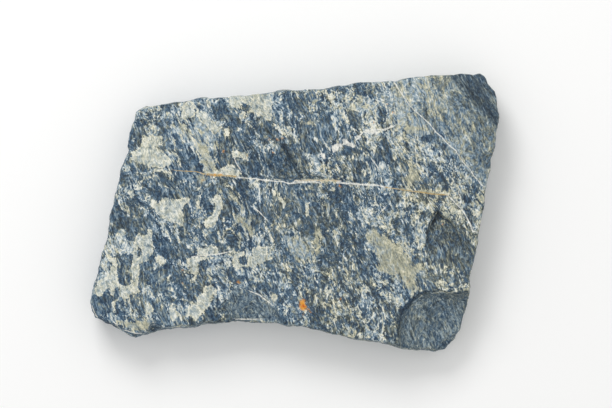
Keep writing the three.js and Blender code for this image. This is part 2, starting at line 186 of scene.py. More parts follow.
# Softer tan and olive stains.
TAN_PATCHES = (
    ((41.5, -15), (43, -12.5), (45.5, -11.5), (48, -11.3), (50, -12.5), (54, -15), (57, -17), (60, -19.5),
     (65, -21), (66, -25), (67.5, -27.5), (69.5, -28), (69.5, -31.5), (78, -32), (76, -34.5), (74, -37.5),
     (73, -40), (73, -43), (74, -45.5), (73, -47), (70.5, -50), (69, -48.5), (66, -46), (64.5, -42),
     (62, -38.5), (58, -37.5), (55.5, -36), (52, -36), (49.5, -34), (49.5, -28), (48.5, -23.5), (46, -21),
     (45, -18), (43, -16.5)),
    ((12.5, -9.5), (15.5, -11), (15.5, -14), (14.5, -18), (14, -26), (12.5, -26), (12.5, -17), (12, -13)),
    ((38, 69), (40, 69.5), (41, 66), (43, 62), (42, 60.5), (40.5, 63), (37.5, 64), (36, 63)),
    ((-36.5, -2), (-33.5, -1.5), (-30, -4), (-27, -6.5), (-25, -9), (-23.5, -12), (-25, -14), (-28, -12),
     (-31, -9.5), (-34.5, -7)),
    ((-62, 22), (-58, 22.5), (-54, 23), (-53.5, 19), (-55, 17.5), (-57, 17), (-60, 19), (-63, 20)),
    ((-47.5, 42.5), (-45, 42.5), (-44.5, 38.5), (-47, 38.5)),
    ((-106, -65.5), (-100, -66), (-94, -65.5), (-90, -64.5), (-86, -66), (-86, -69), (-88, -71), (-98, -70),
     (-103, -69)),
    ((69, 29), (72, 28), (73, 24), (75, 20), (73, 16.5), (67, 16), (66, 20), (68, 23)),
    ((66, 51), (72, 50.5), (79, 49.5), (79, 48), (66, 47.5)),
    ((-57, 41), (-53, 40), (-49, 33), (-46.5, 25), (-49, 22.5), (-54, 24), (-57, 33)),
)
TAN_LINES = (
    (1.6, ((7, 52.5), (10.5, 53), (12.5, 51.5), (12, 49))),
    (1.5, ((9.5, 67), (13, 66))),
    (1.2, ((9, 14), (10.5, 12), (10, 8), (11, 7))),
    (1.8, ((-39, 12), (-36, 9.5), (-34, 6), (-31.5, 2.5))),
    (1.5, ((-33, -14), (-32.5, -22))),
    (1.2, ((-51.5, -31), (-51, -41))),
    (1.2, ((5, 18.5), (27, 18.5))),
    (1.6, ((64, 13.5), (70, 12), (78, 12), (84, 10.8))),
    (2.0, ((104, 2), (107, 5), (112, 8))),
    (3.0, ((110, 9), (115, 6))),
)

# Soft pale areas, where the streaks between stay grey.
PALE_PATCHES = (
    ((-60, 55), (-56.5, 62), (-54, 60), (-49, 54), (-45, 50.5), (-44, 46), (-47.5, 42), (-47, 39),
     (-48.5, 36), (-50, 33), (-48, 30), (-47, 25), (-46.5, 23), (-54, 23), (-55.5, 27), (-57, 31),
     (-59, 35), (-60.5, 40), (-58, 42), (-58, 46), (-60, 50)),
    ((60, 78.5), (66, 77), (70, 80), (77, 81), (81.5, 80), (84, 76), (88, 70), (86, 66), (83, 57), (81, 57),
     (77, 62), (76, 58), (70, 61.5), (66, 67), (62, 71), (60, 75)),
    ((60, 64), (66, 66), (70, 60), (77, 56), (80, 52), (78, 49), (73, 47), (68, 47.5), (64, 50), (62, 54)),
    ((43, 69), (46, 67), (48, 65), (49, 60), (49, 53), (47, 50.5), (43.5, 53), (43.5, 58), (42.5, 62)),
    ((-6, -16), (0, -14.5), (9, -14.5), (11, -17), (12, -27), (0, -27)),
    ((40, 3), (45, 2), (46, -2), (45, -7), (41, -8), (40, -3)),
    ((-111, -14), (-105, -11), (-103.5, -8), (-101.5, -10.5), (-102, -15), (-97.5, -19), (-96, -21),
     (-100.5, -27), (-104.5, -24), (-110, -33), (-114, -25), (-114, -18)),
    ((-118, -28), (-110, -28), (-110, -50), (-118, -50)),
    ((-8, 45), (0, 45), (0, 50), (-8, 50)),
    ((58, -50), (61, -52), (64, -53), (63.5, -56), (60, -56), (58, -53)),
    ((-35, -34), (-30, -34), (-30, -38), (-35, -38)),
    ((75, 0), (84, 0), (84, 5), (75, 5)),
    ((60, 3), (70, 3), (70, 5), (60, 5)),
)
PALE_LINES = (
    (1.6, ((23, 60), (24, 50))),
    (1.2, ((27, 64), (27, 56))),
    (1.2, ((-8, 60), (-8, 52))),
    (1.5, ((-23, 41.5), (-20, 39), (-18, 36))),
    (1.3, ((23, 4), (24.5, 0), (25, -3))),
    (1.0, ((14.5, 14), (15, 11), (16, 9))),
    (1.2, ((72, -12), (71.5, -16), (71, -20))),
    (1.0, ((79.5, -6), (80, -9), (79, -12), (77, -19))),
    (1.6, ((12.5, -50), (12, -58.5))),
    (1.5, ((80, -32.5), (85, -34.5), (90, -37))),
    (1.2, ((25, -61), (30, -61), (34, -62))),
    (1.6, ((35, -65.5), (37, -66.5), (39, -68.5))),
    (1.4, ((30, -69), (34, -71), (38, -74))),
    (1.2, ((-95.5, 6.5), (-91, 2.5), (-88, -0.5))),
    (1.2, ((-100, 1), (-99.5, -4), (-100.5, -7))),
    (1.2, ((-86, 50), (-80, 49))),
    (1.5, ((-71.5, 62), (-73.5, 49))),
    (1.5, ((-89, -37), (-84, -41))),
    (1.5, ((-75, -46), (-71, -51.5))),
    (1.2, ((26, -33), (28, -35), (34, -35.5))),
    (1.5, ((111, 80), (113, 77))),
    (1.5, ((114, 74), (115, 70))),
    (2.0, ((80, -82), (85, -83))),
)
PALE_SPOTS = ((88, -61, 1.2), (88, -73, 1.0), (119, 68, 2.5))

# Thin veins, as lines with their width and their share of ochre: white at 0 and ochre at 1.
VEINS = (
    (0.52, 0.3, ((58.8, 78.6), (60, 76.5), (66, 67.5), (69, 63), (73, 59.2), (77, 55.8), (81, 52), (84, 48))),
    (0.6, 0.1, ((84, 48), (88, 44.5), (90.5, 41.5), (93.5, 38.5), (97, 36))),
    (0.5, 0.3, ((90.5, 41.5), (96, 36.5), (98.5, 33), (101, 29), (105, 25), (107, 21.5), (110, 18),
                (112, 15.5), (114.5, 14.5))),
    (1.01, 0.0, ((50, 49), (53, 48.5), (56, 49.7), (59, 51))),
    (0.78, 0.0, ((39, 45.5), (41, 47))),
    (0.45, 0.9, ((-72, 24.3), (-60, 23.8), (-54, 22.5), (-44, 22), (-40, 21.5))),
    (0.78, 0.9, ((-56, 22.7), (-48, 21.2), (-40, 21.3), (-35, 20.6))),
    (0.62, 0.2, ((-35, 20.3), (-30, 19.8), (-24, 19.5), (-18, 18.5))),
    (0.66, 0.0, ((-18, 18.5), (-14, 18.2), (-11, 17.8), (-8, 18), (-5, 17), (-3, 16.5), (0, 17))),
    (0.75, 0.6, ((0, 18.2), (8, 18.6), (14, 18.4), (22, 18.6), (28, 18))),
    (0.62, 0.1, ((2, 17), (9, 17.5), (15, 17))),
    (0.95, 0.1, ((26, 17), (35, 16.5), (40, 16), (46, 15.7), (50, 15.5), (54.5, 14.3))),
    (0.7, 0.8, ((54.5, 14.3), (60, 13.5), (66, 12.6), (72, 11.8))),
    (0.8, 1.0, ((62, 13.2), (70, 12), (76, 11.4), (82, 10.4), (90, 9.8))),
    (0.62, 0.0, ((-24, 2), (-22.5, 1), (-21.5, 0), (-19.5, -2), (-17, -4.8))),
    (0.55, 0.3, ((-36.5, 33), (-35, 29), (-32.5, 25))),
    (0.55, 0.0, ((47, 30), (49, 27.5), (50, 26))),
    (0.55, 0.0, ((98.5, 10), (99.5, 7.5), (99.3, 5))),
    (0.62, 0.0, ((93, 8), (96, 5), (99, 2), (101, -0.5), (103, -4), (105, -8), (106.5, -12), (110, -12.5))),
    (0.55, 0.2, ((-60, -27), (-52, -26.3), (-45, -25.5), (-38, -24))),
    (0.55, 0.1, ((-26, -48), (-21, -50), (-16, -54), (-14, -55.5))),
    (0.55, 0.0, ((-35, -64.5), (-20, -64.5))),
    (0.78, 0.0, ((52, 0), (54, 2))),
    (0.62, 0.0, ((-121, -57), (-119, -62), (-117, -64.5))),
    (0.55, 0.0, ((-109, -65), (-106, -68))),
    (0.62, 0.0, ((-101, -71), (-95, -73), (-91, -73))),
)
# Wider lenses of the same white.
WHITE_PATCHES = (
    ((42, 49), (44, 49), (46, 48.5), (50, 48), (49, 46), (46, 46.5), (42.5, 47)),
    ((36.5, 44.5), (39, 45), (39.5, 43), (37, 43)),
    ((29, 43.5), (31, 43), (33, 41), (36, 39.5), (35, 38.5), (30, 40), (28.5, 42)),
    ((22.5, 38.5), (25, 40), (28.5, 40.5), (28.5, 39), (26, 37.5), (24.5, 35.5), (23, 36)),
    ((15.5, 34), (16.5, 35), (18.5, 32.5), (19, 31), (17, 31.5)),
)

# Rust: the one bright patch, its tail, and small spots.
RUST_PATCHES = (
    ((3.5, -52.5), (6.5, -52.5), (7, -55), (7.5, -57), (7, -59), (5, -59.5), (4, -59.5), (2.5, -57.5),
     (2.5, -55.5)),
)
RUST_LINES = (
    (1.0, ((7.5, -58.5), (9.5, -60))),
    (1.1, ((-53, 21.3), (-44, 22))),
)
RUST_SPOTS = (
    (5, -61.7, 0.96), (59, 59.2, 0.96), (56, 64.5, 0.64), (-7, 43.5, 1.04), (-15.5, 43, 0.96),
     (-10.5, 43, 0.8),
    (-12.5, 35.5, 0.8), (-42.5, 36, 0.96), (-28.5, 33.5, 0.8), (-54.5, 18.5, 0.8), (-31.8, -6.8, 0.88),
    (-66.8, -35, 0.8), (-67, -43, 0.64), (-33.5, -42.5, 1.12), (27.6, -52.7, 0.96), (27, 15, 1.12),
     (47.7, 53, 0.8),
    (59.5, -35, 0.72), (61, -36.5, 0.72), (68, -41.5, 0.72), (88.5, -7.7, 0.72),
)

# Soft dark slate areas, and painted shade in the notch at the right side and along steep walls and the
# near-left edge.
DARK_AND_SHADE_PATCHES = (
    ((-49, 62), (-44, 67), (-40, 62), (-35, 62), (-35.5, 56), (-40, 54), (-46, 54.5), (-49, 58)),
    ((49.5, 65), (54, 64), (55.5, 60), (54, 52), (50, 53)),
    ((32, 60), (36, 60), (40, 57), (40, 50), (36, 49.5), (33, 52)),
    ((29, 38), (35, 38), (40, 36), (39, 34.5), (31, 36)),
    ((35, 30), (40, 30), (43, 27), (38, 26)),
    ((64, 29), (67, 29), (68, 25), (66, 23.5), (65, 25)),
    ((75, 44), (80, 46.5), (83, 46), (84.5, 44), (81, 41.5), (78.5, 40.5), (76, 42)),
    ((112, 34), (115.5, 33), (117, 30), (117, 26), (112, 27), (110.5, 30)),
    ((100.5, 11), (103, 10), (105.5, 6), (104.5, 4), (102, 5), (100.5, 8)),
    ((102, 0.5), (104, 1), (106, -2), (109, -4), (108, -6), (105, -5), (103, -2)),
    # These two patches are painted shade in the notch at the right side, darkest under its tip.
    ((86, 0.5), (88, -2), (91, -4), (94, -8), (96, -12), (94, -13.5), (91, -11), (88, -9.5), (83, -10),
     (81, -8), (83, -4), (84.5, -1)),
    ((85.2, 1), (92, -4), (98.4, -10.8), (104.5, -18.5), (109, -23), (108, -30), (96.5, -32.5), (81.5, -30),
     (78, -20), (79.8, -9.6)),
    ((93, 83), (104, 83), (113, 83), (121, 73), (126, 60), (121, 51), (113, 58), (104, 68), (97, 76)),
    ((25, 12), (29, 14.5), (31, 12), (30, 8), (27.5, 8.5), (25, 10)),
    ((15.5, -8), (18, -7), (20, -8), (20, -10.5), (16, -10.5)),
    ((15, -40), (19, -40), (19, -45), (17, -46), (15, -43)),
    ((-105.5, -27), (-98, -27), (-97.5, -33), (-99, -37), (-98, -41), (-98.5, -44), (-101, -45), (-104, -43),
     (-105.5, -39)),
    ((-121, -50), (-116, -51), (-111, -48.5), (-106, -51), (-109, -60), (-114, -61), (-121, -59),
     (-122.5, -55)),
    ((70, -27), (74.5, -27), (77, -28), (77.5, -31), (70, -31.5)),
    ((75, -36.5), (77, -38), (76, -43), (74.5, -44), (73, -41)),
)
DARK_AND_SHADE_LINES = (
    (2.0, ((44, 71), (48, 66))),
    (2.2, ((77.5, 65.5), (78, 60), (79, 55))),
    (3.0, ((97, 50), (99, 46))),
    (2.0, ((84, 38), (90, 39))),
    (1.5, ((81, 80), (88, 72))),
    (2.5, ((92.5, 67), (98, 61))),
    (0.8, ((87, 9.3), (91, 9))),
    (1.5, ((44, -9), (49, -11))),
    # Painted shade beside the steep wall of the scoop.
    (1.6, ((-3, 44), (2, 37), (6, 30), (8, 22))),
    (2.2, ((90, 79), (97, 71), (104, 62), (112, 53), (118, 46))),
    (2.6, ((97, 80.5), (106, 71), (114, 62), (121, 55))),
    (1.0, ((84, 80), (92, 72), (99, 63), (106, 55))),
    # Painted shade along the rim of the notch at the near right.
    (2.4, ((61, -75), (62, -70), (62.5, -65), (64, -60), (67, -57.5), (70, -53), (73, -50))),
    (1.0, ((73, -50), (78, -48.5), (84, -48), (88, -49), (94, -49.5), (105, -48))),
    # Painted shade along the near-left edge, which faces away from the lamp.
    (3.5, ((-121, -60), (-116, -67), (-109, -68.5), (-104, -72), (-98, -75), (-94, -76), (-90, -74.5))),
    (1.2, ((-51, -67), (-46, -67))),
    (2.0, ((65, -81), (72, -83))),
    (2.0, ((90, -79), (97, -77))),
    (0.6, ((-6, -14.4), (13, -14))),
    (1.2, ((-51, 40), (-50, 36), (-48.5, 31))),
)
DARK_SPOTS = (
    (-57, 45, 1), (-29.5, 61.8, 2.6), (62, 30, 2), (-65, -3, 1.3), (-35, 13, 1.8), (90, -38.5, 1.2),
    (91.5, -40.5, 1), (107.5, 11, 1.6),
)
# Dark streaks with the grain: left and right, near and far limits.
DARK_STREAKS = (
    (-80, -74, 60, 65), (-79, -76, 38, 52), (-70, -64, 24, 46), (-96, -90, 24, 26), (-62, -57, 24, 30),
    (-45, -36, 24, 38), (-33, -20, 24, 30), (-22, -12, 45, 52), (-9, -4, 38, 40), (-10, 0, 25, 38),
    (4, 14, 34, 44), (55, 58, 22, 44), (88, 92, 55, 59), (82, 84, 51, 56), (107, 111, 50, 54),
    (87, 91, 13, 22), (79, 82, -20, -12), (80, 100, -25, -13), (-110, -100, -10, 2), (-90.5, -88.5, -14, -8),
    (-84, -80, -26, -12), (-80, -70, -28, -22), (-86, -70, 8, 12), (-66, -58, 9, 13), (-54, -49, -1, 6),
    (-33, -28, 8, 18), (-28, -22, -10, -2), (-40, -33, -22, -14), (-46, -41, -24, -19), (-13, -9, -18, -11),
    (27, 31, -4, -1), (17, 25, -29, -13), (36, 40, -8, -5.5), (41, 43, -13, -11.5), (60, 64, -9, -4),
    (66, 70, -18, -8), (24, 27, -40, -33), (87, 90, -32, -29), (78, 81, -63, -56),
)

# Fresh breaks, smoother and plainer than the weathered face.
FRESH_PATCHES = (
    ((61, -75), (62, -70), (62.5, -65), (64, -60), (67, -57.5), (70, -53), (73, -50), (78, -48.5), (84, -48),
     (88, -49), (94, -49.5), (105, -48), (114, -47), (114, -70), (100, -86), (80, -88), (66, -86)),
    ((91, 82), (97, 74), (104, 66), (111, 58), (117, 51), (128, 46), (128, 86), (92, 86)),
    ((-40, -50), (-35, -46), (-28, -46), (-22, -49.5), (-17, -54), (-11, -57), (-9, -62), (-5, -66.5),
     (-20, -66), (-40, -65), (-41, -57)),
)
# Near-black marks, mostly painted shade: under the notch's tip, along the steep walls, just above the crack
# and along the near-left edge. The line at the far corner is its darkest stone.
DEEP_SHADE_PATCHES = (
    # Painted shade under the notch's tip.
    ((85.2, 1), (88, -1.5), (90, -4), (86.5, -5), (83.5, -7), (81, -11), (80, -9), (82, -5)),
    # Painted shade along the near-left edge and under its small overhang.
    ((-121, -60), (-112, -66), (-104, -72), (-98, -77), (-104, -78), (-114, -72), (-121, -66)),
    ((-87, -68), (-82, -68.5), (-79, -70.5), (-80, -73), (-86, -76), (-88, -72)),
)
DEEP_SHADE_AND_DARK_LINES = (
    # Painted shade along the steep wall of the scoop, and beside it.
    (2.6, ((-8.5, 42), (-4, 35), (0, 28.5), (3, 22), (4.6, 18.6))),
    (1.2, ((-26, 37), (-20, 33), (-12, 26), (-6, 22))),
    # Painted shade on the notch's left wall.
    (1.4, ((84.6, 0), (82, -6), (79, -13), (78.6, -22), (80, -30))),
    # Painted shadow just above the crack's lip.
    (1.1, ((-36, 21.8), (-24, 21), (-10, 20), (0, 19.6), (14, 20), (27, 19.2), (40, 17.9), (54, 16.3),
     (66, 14.2))),
    # Painted shade along the rim of the notch at the near right.
    (1.4, ((62, -75), (62, -68), (63.5, -61), (67, -56.5), (71, -51.5), (76, -48.5))),
    (1.0, ((76, -48.5), (84, -48), (94, -49.3), (105, -48))),
    (1.0, ((-54, 18), (-50.5, 26), (-52, 36), (-55, 45))),
    # The darkest stone along the seam between the far corner's facets.
    (0.9, ((97, 80.5), (106, 71), (114, 62), (121, 55))),
)

# Areas where the streaks are soft and near one tone.
SOFT_PATCHES = (
    ((55, 84), (60, 70), (62, 62), (59, 52), (66, 46), (80, 47), (88, 40), (96, 33), (104, 22), (112, 14),
     (128, 14), (130, 90), (55, 90)),
    ((-6, -16), (10, -14), (12, -27), (0, -30)),
    ((-60, 60), (-52, 56), (-44, 47), (-47, 40), (-58, 42), (-62, 52)),
)

# Broad paler and darker areas: middle, reach to the sides and to the far and near edges, and how much.
SHADES = (
    (-86, 62, 10, 6, 0.3), (-60, 48, 9, 10, 0.45), (-26, 38, 8, 8, 0.2), (3, 56, 13, 12, -0.3),
    (28, 72, 16, 8, -0.3), (21, 42, 8, 12, -0.35), (60, 60, 16, 16, 0.45), (94, 37, 7, 6, 0.3),
    (111, 35, 8, 14, -0.35), (-98, 13, 8, 8, 0.25), (-62, 13, 8, 8, -0.35), (-32, 13, 13, 7, 0.3),
    (-1, 22, 9, 10, -0.45), (101, 6, 10, 7, 0.4), (-2, 1, 26, 9, -0.25), (-38, -11, 8, 8, 0.3),
    (103, -10, 9, 7, -0.25), (34, -23, 8, 8, -0.3), (-26, -35, 8, 8, 0.25), (91, -40, 15, 11, -0.3),
    (-86, -48, 10, 11, -0.4), (-12, -41, 22, 10, -0.2), (46, -47, 7, 7, 0.3), (22, -53, 9, 11, -0.15),
    (-2, -56, 8, 7, -0.15), (52, -70, 14, 8, -0.1),
)

# Stone colours along its brightness: each stop is a place from 0 to 1 and a screen colour.
COOL_TONES = (
    (0.00, (20, 34, 50)), (0.22, (38, 61, 84)), (0.32, (58, 84, 106)), (0.42, (83, 108, 128)),
    (0.52, (110, 132, 149)), (0.62, (136, 156, 169)), (0.72, (164, 179, 187)), (0.82, (192, 202, 203)),
    (0.95, (227, 230, 226)),
)
WARM_TONES = (
    (0.00, (34, 41, 43)), (0.22, (58, 65, 64)), (0.32, (82, 90, 86)), (0.42, (108, 113, 105)),
    (0.52, (134, 137, 122)), (0.62, (160, 161, 139)), (0.72, (187, 184, 157)), (0.82, (211, 206, 179)),
    (0.95, (236, 231, 209)),
)


def screen_colour(red, green, blue):
    """A colour picked on a screen, 0 to 255, as the linear colour that materials use."""
    return tuple(
        (value / 255) / 12.92 if value / 255 <= 0.04045 else ((value / 255 + 0.055) / 1.055) ** 2.4
        for value in (red, green, blue)
    )


def length_property(name, description, millimetres):
    return bpy.props.FloatProperty(
        name=name, description=description, default=millimetres * MM, min=0, precision=5, unit="LENGTH",
        subtype="DISTANCE")


def angle_property(name, description, degrees):
    return bpy.props.FloatProperty(
        name=name, description=description, default=math.radians(degrees), unit="ROTATION", subtype="ANGLE")


def colour_property(name, description, red, green, blue):
    return bpy.props.FloatVectorProperty(
        name=name, description=description, default=screen_colour(red, green, blue), size=3, min=0, max=1,
        subtype="COLOR")


class MARBLESLAB_PG_stone(bpy.types.PropertyGroup):
    """Sizes and colours of the stone."""

    mesh_step: length_property("Mesh Step", "Spacing of the fine mesh", 1.0)
    rib_height: length_property("Rib Height", "Height of the ribs that follow the grain", 0.3)
    rib_spacing: length_property("Rib Spacing", "Distance between ribs across the grain", 5)
    grit_height: length_property("Grit Height", "Height of the fine roughness", 0.12)
    grit_size: length_property("Grit Size", "Size of the fine roughness", 2)
    bed_height: length_property("Bed Height", "Height of the ledges on the broken sides", 0.5)
    bed_spacing: length_property("Bed Spacing", "Distance between the ledges on the broken sides", 2.4)
    break_height: length_property("Break Height", "Height of the breaks along the edges", 0.45)
    break_spacing: length_property("Break Spacing", "Distance between the breaks along the edges", 3)
    crust_height: length_property("Crust Height", "Thickness of the cream crusts", 0.15)
    tan: colour_property("Tan", "Stains on the face", 173, 174, 154)
    white: colour_property("White", "Thin veins", 236, 235, 226)
    ochre: colour_property("Ochre", "Stained stretches of the veins", 184, 158, 104)
    rust: colour_property("Rust", "Rust patch and spots", 226, 154, 46)
    deep_rust: colour_property("Deep Rust", "Middle of the rust patch", 198, 82, 18)


class MARBLESLAB_PG_stage(bpy.types.PropertyGroup):
    """Floor, light and camera."""

    floor_colour: colour_property("Floor Colour", "Plain pale floor", 247, 247, 246)
    sky_strength: bpy.props.FloatProperty(
        name="Surrounding Light", description="Brightness of the even light all round", default=0.78, min=0)
    key_power: bpy.props.FloatProperty(
        name="Key Light", description="Power of the large soft lamp on the far side", default=10, min=0,
        unit="POWER")
    key_size: length_property("Key Size", "Width of the lamp", 700)
    key_distance: length_property("Key Distance", "From the middle of the face", 1500)
    key_height: angle_property("Key Height", "Angle of the lamp above the floor", 42)
    key_turn: angle_property("Key Turn", "Angle of the lamp from straight behind, to the left", 25)
    camera_height: angle_property("Camera Height", "Angle of the camera above the floor", 88)
    camera_distance: length_property("Camera Distance", "From the middle of the face", 2500)
    view_width: length_property("View Width", "Width of the view at the face", 365.6)


def add_node(tree, kind, inputs=None, **settings):
    """Adds a node. An input is a value, or the socket that feeds it."""
    node = tree.nodes.new(kind)
    for name, value in settings.items():
        setattr(node, name, value)
    for key, value in (inputs or {}).items():
        if isinstance(value, bpy.types.NodeSocket):
            tree.links.new(value, node.inputs[key])
        else:
            node.inputs[key].default_value = value
    return node


def calculate(tree, operation, first, second=0.0, third=0.0):
    return add_node(tree, "ShaderNodeMath", {0: first, 1: second, 2: third}, operation=operation).outputs[0]


def times(tree, first, second):
    return calculate(tree, "MULTIPLY", first, second)


def weighted(tree, parts, start, **weights):
    """A start value plus each of the named parts times its weight."""
    total = start
    for name, weight in weights.items():
        total = calculate(tree, "MULTIPLY_ADD", parts[name], weight, total)
    return total


def step(tree, value, low, high, start=0.0, end=1.0):
    """Rises smoothly from start to end as the value goes from low to high."""
    inputs = {0: value, 1: low, 2: high, 3: start, 4: end}
    return add_node(tree, "ShaderNodeMapRange", inputs, interpolation_type="SMOOTHSTEP").outputs[0]


def blend(tree, amount, first, second):
    """One value where the amount is 0, the other where it is 1."""
    return add_node(tree, "ShaderNodeMix", {0: amount, 2: first, 3: second}, data_type="FLOAT").outputs[0]


def blend_colours(tree, amount, first, second):
    """One colour where the amount is 0, the other where it is 1. A colour is a socket or three numbers."""
    inputs = {0: amount}
    for key, colour in ((6, first), (7, second)):
        inputs[key] = colour if isinstance(colour, bpy.types.NodeSocket) else (*colour, 1)
    return add_node(tree, "ShaderNodeMix", inputs, data_type="RGBA").outputs[2]


def ramp(tree, value, stops):
    """Colours along a value."""
    node = add_node(tree, "ShaderNodeValToRGB", {0: value})
    elements = node.color_ramp.elements
    while len(elements) < len(stops):
        elements.new(1)
    for element, (place, colour) in zip(elements, stops):
        element.position = place
        element.color = (*screen_colour(*colour), 1)
    return node.outputs[0]


def attribute(tree, name):
    return add_node(tree, "ShaderNodeAttribute", attribute_name=name).outputs["Fac"]


def vectors(tree, operation, first, second):
    node = add_node(tree, "ShaderNodeVectorMath", {0: first, 1: second}, operation=operation)
    return node.outputs["Value" if operation == "DOT_PRODUCT" else "Vector"]


def scaled(tree, vector, factor):
    return add_node(tree, "ShaderNodeVectorMath", {0: vector, "Scale": factor}, operation="SCALE").outputs[0]


def noise(tree, vector, scale, detail, roughness, seed):
    """Noise from 0 to 1 round a half, as a value and as a colour."""
    inputs = {"Vector": vector, "W": seed, "Scale": scale, "Detail": detail, "Roughness": roughness}
    return add_node(tree, "ShaderNodeTexNoise", inputs, noise_dimensions="4D").outputs


def swing(tree, vector, size, height=1.0, detail=1.0, roughness=0.5, seed=0.0):
    """Noise of about the given size, rising and falling by about the given height round zero."""
    source = noise(tree, vector, 1 / size, detail, roughness, seed)[0]
    reach = height / NOISE_SPREAD
    return calculate(tree, "MULTIPLY_ADD", source, reach, -0.5 * reach)


def warped(tree, vector, size, amount, seed):
    """Bends a space by noise of the given size."""
    drift = noise(tree, vector, 1 / size, 2, 0.5, seed)["Color"]
    centred = vectors(tree, "SUBTRACT", drift, (0.5, 0.5, 0.5))
    return vectors(tree, "ADD", vector, scaled(tree, centred, amount / NOISE_SPREAD))


def threads(tree, vector, size, width, seed):
    """Thin lines where a noise passes its middle, broken up by another."""
    crossing = calculate(tree, "ABSOLUTE", swing(tree, vector, size, detail=2, roughness=0.6, seed=seed))
    broken = step(tree, swing(tree, vector, size * 0.5, seed=seed + 0.5), -0.1, 0.4)
    return times(tree, step(tree, crossing, width, 0), broken)


def grain_space(tree, millimetres, stretch, bed_squeeze):
    """A place with X across the grain and Y along it, drawn out along the grain and the beds."""
    across = vectors(tree, "DOT_PRODUCT", millimetres, (GRAIN_WAY[1], -GRAIN_WAY[0], 0))
    along = vectors(tree, "DOT_PRODUCT", millimetres, (GRAIN_WAY[0], GRAIN_WAY[1], 0))
    up = vectors(tree, "DOT_PRODUCT", millimetres, (0, 0, bed_squeeze))
    along = calculate(tree, "DIVIDE", along, stretch)
    return add_node(tree, "ShaderNodeCombineXYZ", {0: across, 1: along, 2: up}).outputs[0]


def distance_to_line(points, line, closed=False):
    """Distance from each point to a line of straight stretches, and on which side of its stretch it is."""
    corners = np.array(line, float)
    ends = np.roll(corners, -1, axis=0) if closed else corners[1:]
    starts = corners if closed else corners[:-1]
    run = ends - starts
    offset = points[:, None, :] - starts[None]
    along = np.clip((offset * run).sum(2) / (run ** 2).sum(1), 0, 1)
    gap = offset - along[..., None] * run
    distance = np.hypot(gap[..., 0], gap[..., 1])
    nearest = distance.argmin(1)
    rows = np.arange(len(points))
    side = offset[..., 0] * run[:, 1] - offset[..., 1] * run[:, 0]
    return distance[rows, nearest], np.sign(side[rows, nearest])


def depth_in_outline(points, outline):
    """How deep each point is inside a closed outline; less than zero outside it."""
    distance, _ = distance_to_line(points, outline, closed=True)
    starts = np.array(outline, float)
    ends = np.roll(starts, -1, axis=0)
    x, y = points[:, 0, None], points[:, 1, None]
    crosses = (starts[:, 1] > y) != (ends[:, 1] > y)
    rise = np.where(ends[:, 1] == starts[:, 1], 1, ends[:, 1] - starts[:, 1])
    crossing_x = starts[:, 0] + (y - starts[:, 1]) / rise * (ends[:, 0] - starts[:, 0])
    inside = (crosses & (x < crossing_x)).sum(1) % 2 == 1
    return np.where(inside, distance, -distance)


def near(points, corners, margin):
    """Which points lie in the box round the corners, or within a margin of it."""
    corners = np.array(corners, float)
    low, high = corners.min(0) - margin, corners.max(0) + margin
    return np.flatnonzero(((points > low) & (points < high)).all(1))


def mark_depth(points, patches=(), gaps=(), lines=(), spots=(), streaks=()):
    """Depth of each point inside the nearest mark of one kind."""
    depth = np.full(len(points), -MARK_REACH)
    for outline in patches:
        at = near(points, outline, MARK_REACH)
        depth[at] = np.maximum(depth[at], depth_in_outline(points[at], outline))
    for width, line in lines:
        at = near(points, line, MARK_REACH)
        distance, _ = distance_to_line(points[at], line)
        depth[at] = np.maximum(depth[at], width / 2 - distance)
    for x, y, radius in spots:
        depth = np.maximum(depth, radius - np.hypot(points[:, 0] - x, points[:, 1] - y))
    for left, right, low, high in streaks:
        wide, tall = (right - left) / 2, (high - low) / 2
        up = points[:, 1] - (low + high) / 2
        lean = points[:, 0] - (left + right) / 2 - up * GRAIN_WAY[0] / GRAIN_WAY[1]
        depth = np.maximum(depth, (1 - np.hypot(lean / wide, up / tall)) * min(wide, tall))
    for outline in gaps:
        at = near(points, outline, MARK_REACH)
        depth[at] = np.minimum(depth[at], -depth_in_outline(points[at], outline))
    return depth


def broad_shade(points):
    """How much paler or darker the broad areas make each point."""
    shade = np.zeros(len(points))
    for x, y, wide, tall, amount in SHADES:
        shade += amount * np.exp(-((points[:, 0] - x) / wide) ** 2 - ((points[:, 1] - y) / tall) ** 2)
    return shade


def vein_marks(points):
    """Signed distance to the nearest vein, its half width (less than zero far off) and its share of ochre."""
    offset = np.full(len(points), MARK_REACH)
    half_width = np.full(len(points), -1.0)
    ochre = np.zeros(len(points))
    for width, share, line in VEINS:
        at = near(points, line, VEIN_REACH)
        distance, side = distance_to_line(points[at], line)
        closer = distance < np.abs(offset[at])
        offset[at[closer]] = (distance * side)[closer]
        half_width[at[closer]] = width / 2
        ochre[at[closer]] = share
    half_width[np.abs(offset) > VEIN_REACH] = -1
    return offset, half_width, ochre


def vertex_rows(mesh, name):
    """One vector of every vertex, such as its place or its normal."""
    values = np.empty(len(mesh.vertices) * 3)
    mesh.vertices.foreach_get(name, values)
    return values.reshape(-1, 3)


def move_vertices(mesh, places):
    mesh.vertices.foreach_set("co", places.ravel())
    mesh.update()


def new_object(name, data):
    """A new object in the scene."""
    item = bpy.data.objects.new(name, data)
    bpy.context.scene.collection.objects.link(item)
    return item


